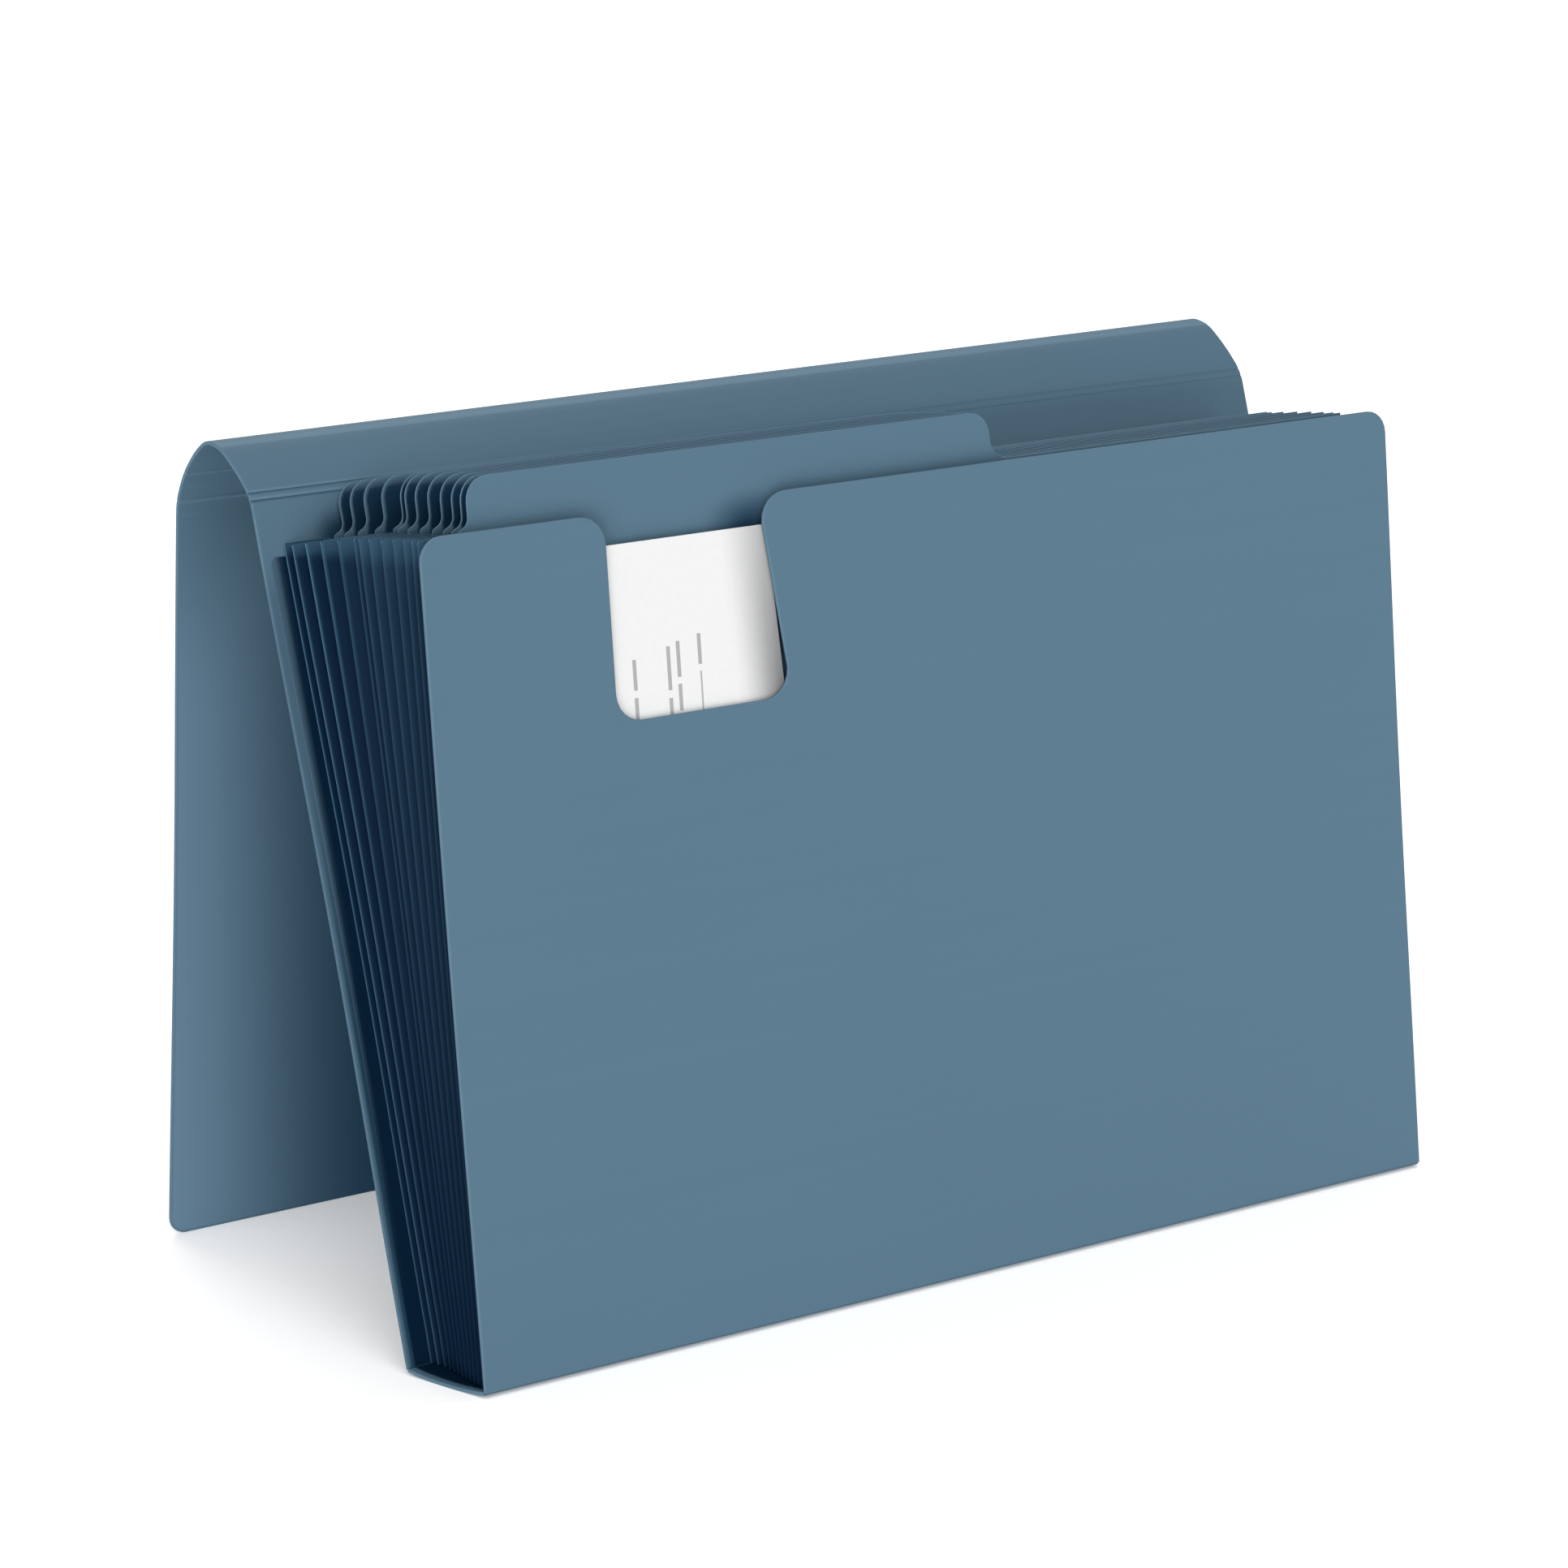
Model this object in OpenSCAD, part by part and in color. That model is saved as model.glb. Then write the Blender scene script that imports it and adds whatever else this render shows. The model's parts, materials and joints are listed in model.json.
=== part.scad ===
// Expanding pocket wallet for coupons and receipts, standing open on its folded back flap.
// X runs along the width, +Y points to the back and +Z up. The origin is on the table,
// under the middle of the footprint.

/* [Cover] */
// Width of the front panel
front_w = 250; // [230:1:300]
// Width of the back panel, the top spine and the flap
back_w = 262; // [230:1:320]
// Length of the front panel from its bottom crease to its top edge
front_len = 172.5; // [150:0.5:178]
// Length of the back panel from its bottom crease to the first top crease
back_len = 180.3; // [150:0.1:220]
// Thickness of the cover sheet
cover_t = 0.8; // [0.5:0.05:1]
// Radius of the front panel's top corners
panel_r = 5; // [1:0.5:15]
// Radius of the flap's free corners
flap_r = 4; // [1:0.5:15]
// Depth over the two bottom creases
base_depth = 21; // [18:0.5:40]
// Lean of the front panel from upright, in degrees
front_lean = 6.6; // [3:0.1:8]
// Lean of the back panel from upright, in degrees
back_lean = 18.2; // [16:0.1:24]

/* [Thumb notch] */
// Width of the notch in the front panel's top edge
notch_w = 40; // [20:0.5:70]
// Depth of the notch
notch_depth = 42.4; // [15:0.1:80]
// Distance of the notch's middle from the panel's middle
notch_offset = -62; // [-70:0.5:60]
// Radius of the notch's four corners
notch_r = 6; // [1:0.5:9]

/* [Bottom spine] */
// Height of the bottom creases above the table
crease_h = 1.2; // [1:0.1:2]
// Rise of the spine from its flat underside to its edges
spine_rise = 0.8; // [0.3:0.1:0.9]
// Width of each curved edge of the spine
spine_edge = 4.5; // [2:0.5:7]
// Gap between the spine and the panel behind or in front of it
spine_gap = 0.35; // [0.2:0.05:0.8]

/* [Top spine] */
// Length of the scored strips next to the back panel and next to the flap
strip_len = 7.5; // [5:0.5:10]
// Length of the two scored strips at the crest
crest_len = 6; // [4:0.5:9]
// Gap left at every crease for the thin hinge of the sheet
crease_gap = 0.4; // [0.36:0.02:0.8]
// Lean of the flap from upright, in degrees
flap_splay = 4.9; // [0:0.1:12]

/* [Dividers] */
// Length of a divider from its bottom edge to its shoulder
divider_len = 170; // [140:0.5:172]
// Height of a tab above the shoulder
tab_h = 10.3; // [8:0.1:16]
// Distance of a tab's left edge from the divider's left edge
tab_inset = 2.5; // [0:0.5:60]
// Width of a tab
tab_w = 129; // [40:1:150]
// Radius of a tab's top corners
tab_r = 5; // [1:0.5:6]
// Radius of the hollow corners at a tab's foot
foot_r = 4.5; // [0.5:0.5:5]
// Thickness of a divider
divider_t = 0.3; // [0.2:0.05:0.4]
// Height of the rearmost divider's bottom edge above the table
divider_low = 2; // [2:0.1:4]
// Height of the front divider's bottom edge above the table
divider_high = 3.8; // [2:0.1:6]

/* [Gussets] */
// Thickness of the pleated side film
film_t = 0.2; // [0.1:0.05:0.3]
// Length of the film up a divider
film_len = 169; // [120:1:172]
// Gap between the film and what it is fixed to
film_gap = 0.15; // [0.1:0.05:0.4]
// Setback of the folds from the edge of the cover
fold_setback = 1.2; // [0.5:0.1:4]
// Reach of the folds beyond the ends of the dividers
fold_reach = 9.2; // [6:0.2:20]
// Height of the film's lower edge above a divider's lower edge
film_foot = 0.5; // [0.5:0.1:5]
// Size of the cut corner at the top of each fold
fold_corner = 3; // [1:0.5:8]

/* [Paper slip] */
// Width of the slip
slip_w = 100; // [60:1:150]
// Length of the slip
slip_len = 162; // [100:1:167]
// Thickness of the slip
slip_t = 0.2; // [0.1:0.05:0.3]
// Gap between the slip and the front panel
slip_gap = 0.35; // [0.3:0.05:0.4]
// Height of the slip's lower edge above the front crease
slip_foot = 4; // [3:0.5:20]

/* [Hidden] */
$fn = 48;

// How far each pocket stands open, from the back panel to the front panel, as parts of the fan
pocket_spread = [0.05, 1, 1.4, 1.9, 2, 0.05, 0.85, 1.1, 1.1, 0.9, 0.6, 0.25, 0.45];
// Turn of the sheet at each top crease, from the back panel to the last strip, in degrees
strip_turn = [31.7, 7.9, 25.2, 42, 13, 12.7];
strip_lens = [strip_len, strip_len, crest_len, crest_len, strip_len, strip_len];

pockets = len(pocket_spread);
back_mid = base_depth - cover_t / 2;
front_mid = cover_t / 2;
divider_w = front_w - 2 * (fold_setback + fold_reach + film_gap);

function total(v, n) = n <= 0 ? 0 : v[n - 1] + total(v, n - 1);

// Panels count from 0, the back panel, over the dividers to the front panel
function lean(k) =
    back_lean - (back_lean - front_lean) * total(pocket_spread, k) / total(pocket_spread, pockets);
function foot_y(k) = back_mid + (front_mid - back_mid) * k / pockets;
function foot_z(k) =
    k == 0 || k == pockets ? crease_h : divider_low + (divider_high - divider_low) * (k - 1) / (pockets - 2);
// A point at distance s up panel k and distance t in front of its middle
function on_panel(k, s, t = 0) = [
    foot_y(k) + s * sin(lean(k)) - t * cos(lean(k)),
    foot_z(k) + s * cos(lean(k)) + t * sin(lean(k))
];

// Top creases, as points in the cross-section
function strip_lean(i) = back_lean + total(strip_turn, i + 1);
function crease(i) =
    i == 0 ? on_panel(0, back_len)
    : crease(i - 1) + strip_lens[i - 1] * [sin(strip_lean(i - 1)), cos(strip_lean(i - 1))];
strips = len(strip_lens);
last_crease = crease(strips);
flap_low = sin(flap_splay) * cover_t / 2;
flap_len = (last_crease[1] - flap_low) / cos(flap_splay);
flap_back = last_crease[0] + flap_len * sin(flap_splay) + cos(flap_splay) * cover_t / 2;

// Shifts the cross-section so that the origin is under the middle of the footprint
mid_y = flap_back / 2;

cover_blue = [0.365, 0.47, 0.55];
film_navy = [0.07, 0.18, 0.28];
divider_blue = [0.3, 0.42, 0.51];
paper_white = [0.94, 0.94, 0.93];

// Stands a flat outline of thickness t up from a foot line, leaning back by the angle a
module standing(foot, a, t) {
    translate([0, foot[0] - mid_y, foot[1]])
        rotate([90 - a, 0, 0])
            translate([0, 0, -t / 2])
                linear_extrude(t)
                    children();
}

// A strip of sheet of width w and length l, with the far corners rounded by r
module rounded_strip(w, l, r) {
    translate([-w / 2, 0]) square([w, l - r]);
    translate([r - w / 2, 0]) square([w - 2 * r, l]);
    for (side = [-1, 1]) translate([side * (w / 2 - r), l - r]) circle(r);
}

// The hollow corner between two straight edges, filled out to a radius
module hollow_corner(r) {
    difference() {
        square(r);
        translate([r, r]) circle(r);
    }
}

module notch_outline() {
    translate([notch_offset, front_len - notch_depth]) {
        translate([-notch_w / 2, notch_r]) square([notch_w, notch_depth]);
        translate([notch_r - notch_w / 2, 0]) square([notch_w - 2 * notch_r, notch_depth]);
        for (side = [-1, 1]) {
            translate([side * (notch_w / 2 - notch_r), notch_r]) circle(notch_r);
            translate([side * notch_w / 2, notch_depth])
                rotate(side < 0 ? 180 : 270)
                    hollow_corner(notch_r);
        }
    }
}

module tab_outline() {
    translate([tab_inset - divider_w / 2, divider_len]) {
        square([tab_w, tab_h - tab_r]);
        translate([tab_r, 0]) square([tab_w - 2 * tab_r, tab_h]);
        translate([tab_r, tab_h - tab_r]) circle(tab_r);
        translate([tab_w - tab_r, tab_h - tab_r]) circle(tab_r);
        translate([tab_w, 0]) hollow_corner(foot_r);
        mirror([1, 0]) hollow_corner(min(foot_r, tab_inset));
    }
}

module bottom_spine() {
    near = cover_t + spine_gap;
    far = base_depth - cover_t - spine_gap;
    lower = [[near, spine_rise], [near + spine_edge, 0], [far - spine_edge, 0], [far, spine_rise]];
    upper = [for (i = [3:-1:0]) lower[i] + [0, cover_t]];
    reach = max(front_w, back_w);
    color(cover_blue)
        intersection() {
            translate([-reach / 2, -mid_y, 0])
                rotate([90, 0, 90])
                    linear_extrude(reach)
                        polygon(concat(lower, upper));
            translate([0, -mid_y, -cover_t])
                linear_extrude(4 * cover_t + spine_rise)
                    polygon([
                        [-front_w / 2, 0], [front_w / 2, 0],
                        [back_w / 2, base_depth], [-back_w / 2, base_depth]
                    ]);
        }
}

module back_panel() {
    color(cover_blue)
        standing(on_panel(0, 0), back_lean, cover_t)
            translate([-back_w / 2, 0]) square([back_w, back_len - crease_gap / 2]);
}

module front_panel() {
    color(cover_blue)
        standing(on_panel(pockets, 0), front_lean, cover_t)
            difference() {
                rounded_strip(front_w, front_len, panel_r);
                notch_outline();
            }
}

// Strip i of the top spine, between two of its creases
module top_strip(i) {
    color(cover_blue)
        standing(crease(i), strip_lean(i), cover_t)
            translate([-back_w / 2, crease_gap / 2])
                square([back_w, strip_lens[i] - crease_gap]);
}

module closing_flap() {
    color(cover_blue)
        standing(last_crease, 180 - flap_splay, cover_t)
            translate([0, crease_gap / 2])
                rounded_strip(back_w, flap_len - crease_gap / 2, flap_r);
}

module divider(k) {
    color(divider_blue)
        standing(on_panel(k, 0), lean(k), divider_t) {
            translate([-divider_w / 2, 0]) square([divider_w, divider_len]);
            tab_outline();
        }
}

// Folds of the left gusset. Even points lie at a panel, odd points at a fold between two panels.
fold_count = 2 * pockets + 1;
face_gap = cover_t / 2 + film_gap + film_t / 2;
back_step = divider_low - crease_h;
front_step = divider_high - crease_h;
function panel_point(k, s) =
    k == 0 ? on_panel(0, s + back_step, face_gap)
    : k == pockets ? on_panel(pockets, s + front_step, -face_gap)
    : on_panel(k, s);
// Middle of the film at fold i, at length s, with the outer folds drawn in by inset
function fold_point(i, s, inset) =
    let (p = (panel_point(floor(i / 2), s) + panel_point(ceil(i / 2), s)) / 2)
    i % 2 == 0 ? [-divider_w / 2 - film_gap, p[0] - mid_y, p[1]]
    : [inset + fold_setback - (i == 1 ? back_w : front_w) / 2, p[0] - mid_y, p[1]];
function slope(p, q) = abs((q[1] - p[1]) / (q[0] - p[0]));
// The film's back and front at fold i, and the hollow side of the fold between them
function fold_tips(i, s, inset) =
    let (
        p = fold_point(i, s, inset),
        before = slope(p, fold_point(i == 0 ? 1 : i - 1, s, inset)),
        after = slope(p, fold_point(i == fold_count - 1 ? i - 1 : i + 1, s, inset)),
        depth = film_t / (before + after)
    ) [
        p + [0, film_t / 2, 0],
        p - [0, film_t / 2, 0],
        p + [i % 2 == 0 ? -depth : depth, depth * (before - after) / 2, 0]
    ];
film_levels = [[film_foot, 0], [film_len - fold_corner, 0], [film_len, fold_corner]];
top_level = len(film_levels) - 1;
// Number of a tip, given as [fold, tip], at level v
function tip_no(tip, v) = (v * fold_count + tip[0]) * 3 + tip[1];
// The rim of the film seen from above, down its outer side and back up its inner side
rim = concat(
    [for (i = [0:fold_count - 1]) each i % 2 == 0 ? [[i, 2]] : [[i, 0], [i, 1]]],
    [for (i = [fold_count - 1:-1:0]) each i % 2 == 1 ? [[i, 2]] : [[i, 1], [i, 0]]]
);
legs = [
    for (i = [0:fold_count - 2])
        i % 2 == 0 ? [[i, 2], [i + 1, 0], [i + 1, 2], [i, 1]]
        : [[i, 1], [i + 1, 2], [i + 1, 0], [i, 2]]
];
points_of_folds = [for (i = [0:fold_count - 1]) i % 2 == 1 ? [[i, 0], [i, 1], [i, 2]] : [[i, 1], [i, 0], [i, 2]]];
function split(q) = len(q) == 3 ? [q] : [[q[0], q[1], q[2]], [q[0], q[2], q[3]]];
function backwards(q) = [for (i = [len(q) - 1:-1:0]) q[i]];
// Each leg is twisted, so both of its sides are cut into triangles along the same diagonal
walls = [
    for (n = [0:len(rim) - 1])
        let (a = rim[n], b = rim[(n + 1) % len(rim)])
            for (v = [0:top_level - 1])
                a[0] < b[0] ? [tip_no(a, v), tip_no(a, v + 1), tip_no(b, v + 1), tip_no(b, v)]
                : [tip_no(a, v + 1), tip_no(b, v + 1), tip_no(b, v), tip_no(a, v)]
];
caps = [
    for (q = concat(legs, points_of_folds)) each [
        [for (tip = q) tip_no(tip, 0)],
        backwards([for (tip = q) tip_no(tip, top_level)])
    ]
];

module gusset() {
    color(film_navy)
        polyhedron(
            points = [
                for (level = film_levels, i = [0:fold_count - 1]) each fold_tips(i, level[0], level[1])
            ],
            faces = [for (q = concat(walls, caps)) each split(q)]
        );
}

module paper_slip() {
    gap = cover_t / 2 + slip_gap + slip_t / 2;
    color(paper_white)
        standing(on_panel(pockets, slip_foot, -gap), front_lean, slip_t)
            translate([notch_offset - notch_w / 2, 0]) square([slip_w, slip_len]);
}

bottom_spine();
back_panel();
front_panel();
closing_flap();
top_strip(0);  // top_strip_1
top_strip(1);  // top_strip_2
top_strip(2);  // top_strip_3
top_strip(3);  // top_strip_4
top_strip(4);  // top_strip_5
top_strip(5);  // top_strip_6
divider(1);  // divider_01
divider(2);  // divider_02
divider(3);  // divider_03
divider(4);  // divider_04
divider(5);  // divider_05
divider(6);  // divider_06
divider(7);  // divider_07
divider(8);  // divider_08
divider(9);  // divider_09
divider(10);  // divider_10
divider(11);  // divider_11
divider(12);  // divider_12
gusset();  // gusset_left
mirror([1, 0, 0]) gusset();  // gusset_right
paper_slip();
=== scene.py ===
import json
import math

import bmesh
import bpy
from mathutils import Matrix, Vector


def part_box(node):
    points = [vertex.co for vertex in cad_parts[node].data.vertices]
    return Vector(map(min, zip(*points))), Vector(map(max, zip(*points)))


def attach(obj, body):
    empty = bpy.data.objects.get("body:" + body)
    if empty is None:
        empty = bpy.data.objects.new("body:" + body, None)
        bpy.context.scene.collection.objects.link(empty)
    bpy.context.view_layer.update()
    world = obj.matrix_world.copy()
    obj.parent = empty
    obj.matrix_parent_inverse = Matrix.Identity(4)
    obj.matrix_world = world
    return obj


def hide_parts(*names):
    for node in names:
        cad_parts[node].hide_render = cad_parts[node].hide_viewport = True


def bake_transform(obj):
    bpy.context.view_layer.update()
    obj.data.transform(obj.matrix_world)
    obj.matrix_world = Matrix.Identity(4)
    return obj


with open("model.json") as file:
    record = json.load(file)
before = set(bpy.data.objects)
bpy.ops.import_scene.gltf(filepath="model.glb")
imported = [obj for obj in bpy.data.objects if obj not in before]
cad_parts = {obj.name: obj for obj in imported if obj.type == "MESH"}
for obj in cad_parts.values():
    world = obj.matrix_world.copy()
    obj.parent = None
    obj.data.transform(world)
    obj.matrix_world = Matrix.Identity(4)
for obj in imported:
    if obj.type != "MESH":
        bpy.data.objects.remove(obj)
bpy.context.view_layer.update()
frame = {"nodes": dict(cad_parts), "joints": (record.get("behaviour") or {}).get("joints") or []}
mm = 0.001
jointInto = {joint["child"]: joint for joint in frame["joints"]}


# Sheets: every sheet of the wallet is drawn flat, in (x, s), and then laid along a path

sheet = {
    "rim": 0.36,  # radius of the rounded rim, as a share of the thickness
    "band": 0.5 * mm,  # flat border inside the rim
    "rimSteps": (30, 60, 90), "sharpAngle": 50,  # degrees
    "step": 0.5 * mm,  # for reading a bent sheet's slope
    "weld": 1e-7, "onSeam": 1e-6, "straightOn": 0.1, "mitreLimit": 0.5,
}


def sheetAxes(body):
    # the foot of a sheet, the way it runs from there and the way its front faces
    foot = Vector(jointInto[body]["pos_m"])
    corners = [v.co for v in frame["nodes"][body].data.vertices]
    middle = sum(corners, Vector()) / len(corners)
    up = Vector((0, middle.y - foot.y, middle.z - foot.z)).normalized()
    front = Vector((0, -up.z, up.y))
    along = [(c - foot).dot(up) for c in corners]
    across = [(c - foot).dot(front) for c in corners]
    wide = max(c.x for c in corners)
    return {"foot": foot, "up": up, "front": front, "length": max(along), "half": wide,
            "thick": max(across) - min(across)}


def cornerArc(centre, radius, start, turn, steps=6):
    # points of an arc, with angles in degrees
    angles = [math.radians(start + turn * i / steps) for i in range(steps + 1)]
    return [(centre[0] + radius * math.cos(a), centre[1] + radius * math.sin(a)) for a in angles]


def outwardNormals(points):
    # mitred outward directions of a closed outline that runs anticlockwise
    found = []
    for i, here in enumerate(points):
        before, after = points[i - 1], points[(i + 1) % len(points)]
        first = Vector((here[1] - before[1], before[0] - here[0])).normalized()
        second = Vector((after[1] - here[1], here[0] - after[0])).normalized()
        found.append((first + second) / max(1 + first.dot(second), sheet["mitreLimit"]))
    return found


def shifted(points, distance):
    return [(p[0] + n.x * distance, p[1] + n.y * distance) for p, n in zip(points, outwardNormals(points))]


def boundaryLoop(bm):
    # the outline's vertices in order, anticlockwise
    following = {}
    for face in bm.faces:
        for loop in face.loops:
            if loop.edge.is_boundary:
                following[loop.vert.index] = loop.link_loop_next.vert.index
    ring = [next(iter(following))]
    while following[ring[-1]] != ring[0]:
        ring.append(following[ring[-1]])
    return ring


def makeSheet(name, outline, place, thick, cell, band=sheet["band"], seams=(), cuts=((), ()),
              shade=None, shadeOn=(1, 1), paintedLight=None, paintedLightOn=(1, 1)):
    # place(x, s) gives the middle of the sheet and its front normal; the rim is rounded, but square at seams
    # cell is the size of the grid laid over the sheet, and cuts are more lines across x and across s
    # shade(x, s) gives the painted shade there, from 0 to 1, deepest where the sheet lies between its
    # neighbours
    # the second function gives the painted highlight there; both have a weight for the front and one for the
    # back face
    radius = thick * sheet["rim"]
    flat = bmesh.new()
    flat.faces.new([flat.verts.new((x, s, 0)) for x, s in shifted(outline, -radius - band)])
    for axis in (0, 1):
        low = min(v.co[axis] for v in flat.verts)
        high = max(v.co[axis] for v in flat.verts)
        count = max(1, round((high - low) / cell[axis]))
        grid = [low + (high - low) * i / count for i in range(1, count)]
        for cut in grid + list(cuts[axis]):
            at, way = [0, 0, 0], [0, 0, 0]
            at[axis], way[axis] = cut, 1
            everything = flat.verts[:] + flat.edges[:] + flat.faces[:]
            bmesh.ops.bisect_plane(flat, geom=everything, dist=sheet["weld"], plane_co=at, plane_no=way)
    flat.normal_update()
    flat.verts.index_update()
    ring = boundaryLoop(flat)
    spots = [(v.co.x, v.co.y) for v in flat.verts]
    faces = [[v.index for v in face.verts] for face in flat.faces]
    flat.free()

    middles = [place(x, s) for x, s in spots]
    verts = [p + n * thick / 2 for p, n in middles] + [p - n * thick / 2 for p, n in middles]
    flatAt = spots + spots
    count = len(spots)
    onFront = [True] * count + [False] * count
    allFaces = faces + [[i + count for i in reversed(f)] for f in faces]
    edge = [spots[i] for i in ring]
    ways = outwardNormals(edge)
    section = [(band, thick / 2)]  # how far out and how high the rim's points lie, from the front skin
    for degrees in sheet["rimSteps"]:
        a = math.radians(degrees)
        section.append((band + radius * math.sin(a), thick / 2 - radius + radius * math.cos(a)))
    section += [(out, -height) for out, height in reversed(section)]
    rows = [ring]
    reach = band + radius
    # painted highlight on the skins; the rim's rows below get 1 where they are cut edge
    edgeAndPaintedLight = [paintedLight(x, s) * paintedLightOn[0 if front else 1] if paintedLight else 0.0
              for (x, s), front in zip(flatAt, onFront)]
    for row, (out, height) in enumerate(section):
        start = len(verts)
        for (x, s), way in zip(edge, ways):
            spot, up = (x + way.x * out, s + way.y * out), height
            cutHere = 0 < row < len(section) - 1
            if any(abs(s + way.y * reach - seam) < sheet["onSeam"] for seam in seams):
                spot, cutHere = (spot[0], s + way.y * reach), False
                if abs(way.x) < sheet["straightOn"]:  # a seam's corners keep their round end
                    up = math.copysign(thick / 2, height)
            edgeAndPaintedLight.append(float(cutHere))
            p, n = place(*spot)
            verts.append(p + n * up)
            flatAt.append(spot)
            onFront.append(height >= 0)
        rows.append(list(range(start, start + len(ring))))
    rows.append([i + count for i in ring])
    for upper, lower in zip(rows, rows[1:]):
        for i in range(len(ring)):
            j = (i + 1) % len(ring)
            allFaces.append([upper[j], upper[i], lower[i], lower[j]])

    mesh = bpy.data.meshes.new(name)
    mesh.from_pydata([tuple(v) for v in verts], [], allFaces)
    mesh.shade_smooth()
    layout = mesh.uv_layers.new(name="flatSheet")  # metres on the flat sheet
    for loop in mesh.loops:
        layout.data[loop.index].uv = flatAt[loop.vertex_index]
    cut = mesh.attributes.new("cutEdgeAndPaintedLight", "FLOAT", "POINT")  # 1 on the sheet's cut edge, and the painted highlight's strength on the skins
    cut.data.foreach_set("value", edgeAndPaintedLight)
    covered = mesh.attributes.new("shade", "FLOAT", "POINT")  # painted shade, 1 where deepest between neighbouring sheets
    covered.data.foreach_set("value", [shade(x, s) * shadeOn[0 if front else 1] if shade else 0.0
                                       for (x, s), front in zip(flatAt, onFront)])
    mesh.validate()
    piece = bpy.data.objects.new(name, mesh)
    bpy.context.scene.collection.objects.link(piece)
    bm = bmesh.new()
    bm.from_mesh(mesh)
    bmesh.ops.dissolve_degenerate(bm, dist=sheet["weld"], edges=bm.edges)
    bmesh.ops.recalc_face_normals(bm, faces=bm.faces)
    bm.to_mesh(mesh)
    bm.free()
    mesh.set_sharp_from_angle(angle=math.radians(sheet["sharpAngle"]))
    return piece


def flatPlace(axes, bend=None):
    # lays a sheet along its panel; bend(x, s) moves it forward of the flat panel
    def at(x, s):
        rise = bend(x, s) if bend else 0
        return axes["foot"] + axes["up"] * s + axes["front"] * rise + Vector((x, 0, 0))

    def place(x, s):
        if not bend:
            return at(x, s), axes["front"]
        step = sheet["step"]
        acrossX = at(x + step, s) - at(x - step, s)
        alongS = at(x, s + step) - at(x, s - step)
        return at(x, s), acrossX.cross(alongS).normalized()
    return place


def spread(middle, reach, count):
    # evenly spaced places, count of them on each side of the middle
    return [middle + reach * i / count for i in range(-count, count + 1)]


def arch(t):
    # a smooth hump, 0 at t 0 and 1, and 1 halfway
    return math.sin(math.pi * min(max(t, 0), 1))


def ease(t):
    # a smooth step from 0 to 1
    t = min(max(t, 0), 1)
    return t * t * (3 - 2 * t)


def leanOf(axes):
    return math.atan2(axes["up"].y, axes["up"].z)


backAxes, frontAxes = sheetAxes("back_panel"), sheetAxes("front_panel")
backLength = (Vector(jointInto["top_strip_1"]["pos_m"]) - backAxes["foot"]).length


def panelBow(axes, s):
    # how far a panel bows forward at s; the bow passes evenly from the back panel to the front panel
    # and comes in level at both ends
    share = (leanOf(backAxes) - leanOf(axes)) / (leanOf(backAxes) - leanOf(frontAxes))
    amount = cover["backBow"] * (1 - share) + cover["frontBow"] * share
    return amount * arch(s / (backLength - cover["creaseReach"])) ** 2


# Materials

def newGroup(name, inputs, outputs):
    group = bpy.data.node_groups.new(name, "ShaderNodeTree")
    for label, kind, value in inputs:
        socket = group.interface.new_socket(name=label, in_out="INPUT", socket_type=kind)
        socket.default_value = value
    for label, kind in outputs:
        group.interface.new_socket(name=label, in_out="OUTPUT", socket_type=kind)
    return group, group.nodes.new("NodeGroupInput"), group.nodes.new("NodeGroupOutput")


def addNode(tree, kind, place, links=None, **settings):
    node = tree.nodes.new(kind)
    node.location = place
    for key, value in settings.items():
        setattr(node, key, value)
    for key, value in (links or {}).items():
        if isinstance(value, bpy.types.NodeSocket):
            tree.links.new(value, node.inputs[key])
        else:
            node.inputs[key].default_value = value
    return node


def makeSheetGrain():
    # fine pressed grain, slow mottling and drawn streaks of plastic sheet, on the flat sheet's metres
    group, given, put = newGroup("sheetGrain", [
        ("Grain Scale", "NodeSocketFloat", 2400.0), ("Mottle Scale", "NodeSocketFloat", 22.0),
        ("Streaks", "NodeSocketFloat", 0.4)], [("Tone", "NodeSocketFloat"), ("Height", "NodeSocketFloat")])
    flat = addNode(group, "ShaderNodeUVMap", (-900, 0), uv_map="flatSheet")
    grain = addNode(group, "ShaderNodeTexNoise", (-600, 200),
                    {"Vector": flat.outputs["UV"], "Scale": given.outputs["Grain Scale"], "Detail": 3.0})
    mottle = addNode(group, "ShaderNodeTexNoise", (-600, -50),
                     {"Vector": flat.outputs["UV"], "Scale": given.outputs["Mottle Scale"], "Detail": 2.0})
    # the streaks run long across the sheet and lie close together along it
    drawn = addNode(group, "ShaderNodeMapping", (-700, -300),
                    {"Vector": flat.outputs["UV"], "Scale": (3, 260, 1)})
    streak = addNode(group, "ShaderNodeTexNoise", (-500, -300),
                     {"Vector": drawn.outputs["Vector"], "Scale": 1.0, "Detail": 2.0})
    mixed = addNode(group, "ShaderNodeMix", (-250, -150),
                    {0: given.outputs["Streaks"], 2: mottle.outputs["Fac"], 3: streak.outputs["Fac"]})
    group.links.new(mixed.outputs[0], put.inputs["Tone"])
    group.links.new(grain.outputs["Fac"], put.inputs["Height"])
    return group


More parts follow.
